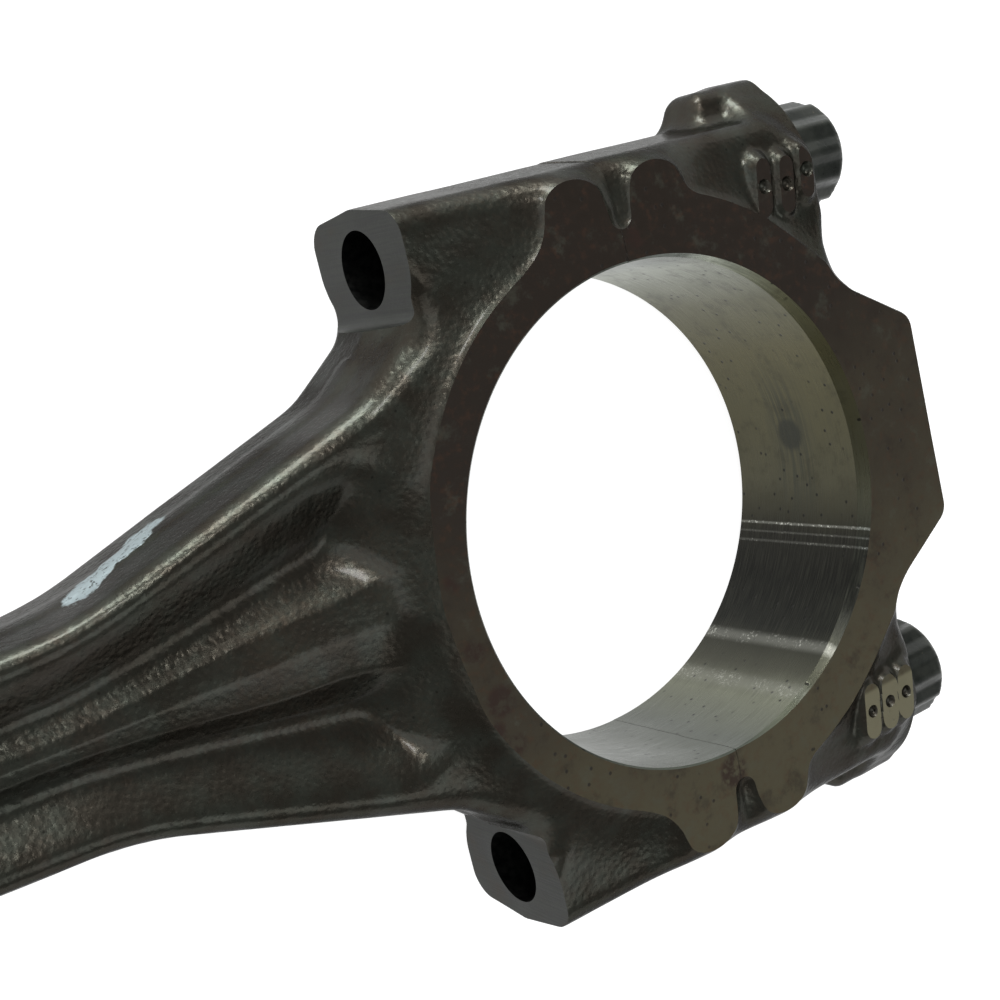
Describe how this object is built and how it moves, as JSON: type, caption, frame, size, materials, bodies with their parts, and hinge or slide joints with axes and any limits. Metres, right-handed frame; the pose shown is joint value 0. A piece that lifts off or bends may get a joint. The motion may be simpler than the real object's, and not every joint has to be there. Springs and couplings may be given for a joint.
{
  "type": "connecting rod",
  "caption": "Forged connecting rod with a fracture-split big end, a bolted bearing cap, an H-section shank and a bushed small end.",
  "frame": {"origin": "under the middle of the rod's bounding box, on the plane of the lower thrust faces that the rod lies on", "axes": "+X along the rod from the piston-pin end to the bearing cap, +Y across the two cap bolts, +Z along the crank bore"},
  "size_m": [0.3642, 0.1514, 0.0386],
  "materials": {
    "rod_forging": "dark as-forged steel under a film of oil, with machined faces at the bores and boss ends",
    "cap_forging": "dark as-forged steel under a film of oil, with a machined thrust face and bolt seats",
    "cap_bolts": "black oxide, lightly oiled",
    "pin_bush": "fine-bored bronze"
  },
  "bodies": {
    "rod": {"rod_body": "rod_forging", "pin_bush": "pin_bush"},
    "cap": {"bearing_cap": "cap_forging"},
    "left_bolt": {"cap_bolt_left": "cap_bolts"},
    "right_bolt": {"cap_bolt_right": "cap_bolts"}
  },
  "joints": [
    {"name": "cap_lift", "type": "slide", "parent": "rod", "child": "cap", "axis": [1, 0, 0], "range_m": [0, 0.08]},
    {"name": "left_bolt_draw", "type": "slide", "parent": "cap", "child": "left_bolt", "axis": [1, 0, 0], "range_m": [0, 0.085]},
    {"name": "right_bolt_draw", "type": "slide", "parent": "cap", "child": "right_bolt", "axis": [1, 0, 0], "range_m": [0, 0.085]}
  ]
}
